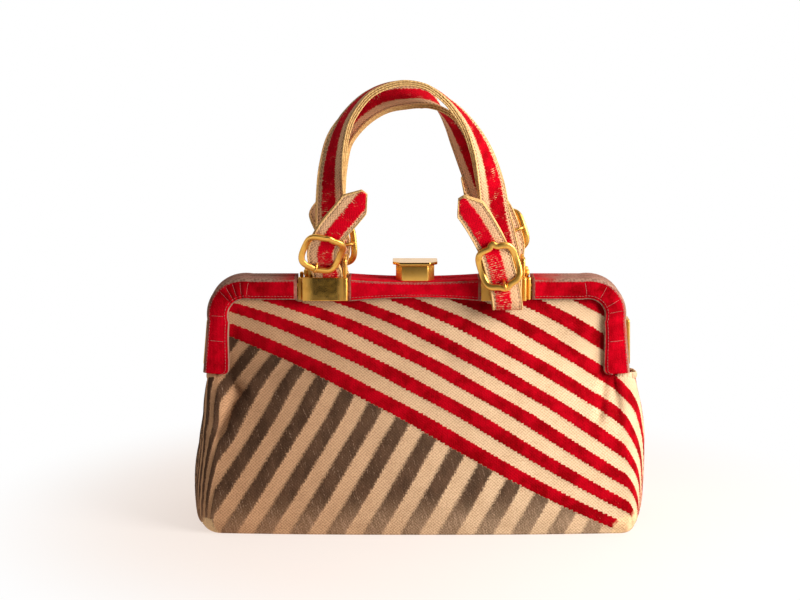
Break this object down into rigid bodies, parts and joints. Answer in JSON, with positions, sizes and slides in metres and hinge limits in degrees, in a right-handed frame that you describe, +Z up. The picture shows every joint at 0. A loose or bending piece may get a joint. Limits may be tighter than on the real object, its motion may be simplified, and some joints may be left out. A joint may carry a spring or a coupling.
{
  "type": "velvet handbag",
  "caption": "Soft velvet handbag on a covered inverted-U metal frame, with strap handles buckled to brass brackets and a flip clasp on top.",
  "frame": {"origin": "middle of the flat base, on the surface that the bag stands on", "axes": "+X to the viewer's right across the front, +Y from the front to the back, +Z up"},
  "size_m": [0.3006, 0.1156, 0.2876],
  "materials": {
    "striped_velvet": "cut velvet stripes on a bare woven ground",
    "red_velvet": "crimson velvet pile",
    "base_cloth": "worn woven cloth",
    "strap_velvet": "velvet stripe between woven edges, stitched",
    "brass": "polished gold"
  },
  "bodies": {
    "bag": {"front_panel": "striped_velvet", "back_panel": "striped_velvet", "base_panel": "base_cloth", "frame_front": "brass", "frame_back": "brass", "front_cover_left": "red_velvet", "front_cover_mid": "red_velvet", "front_cover_right": "red_velvet", "back_cover_left": "red_velvet", "back_cover_mid": "red_velvet", "back_cover_right": "red_velvet", "side_hinge_left": "brass", "side_hinge_right": "brass", "bracket_front_left": "brass", "bracket_front_right": "brass", "bracket_back_left": "brass", "bracket_back_right": "brass", "pin_front_left": "brass", "pin_front_right": "brass", "pin_back_left": "brass", "pin_back_right": "brass", "buckle_front_left": "brass", "buckle_front_right": "brass", "buckle_back_left": "brass", "buckle_back_right": "brass", "prong_front_left": "brass", "prong_front_right": "brass", "prong_back_left": "brass", "prong_back_right": "brass", "handle_front": "strap_velvet", "handle_back": "strap_velvet", "clasp_case": "brass", "clasp_post": "brass"},
    "lever": {"clasp_lever": "brass"}
  },
  "joints": [
    {"name": "clasp_hinge", "type": "hinge", "parent": "bag", "child": "lever", "pos_m": [-0.001, 0.0086, 0.1683], "axis": [-1, 0, 0], "range_deg": [0, 75]}
  ]
}
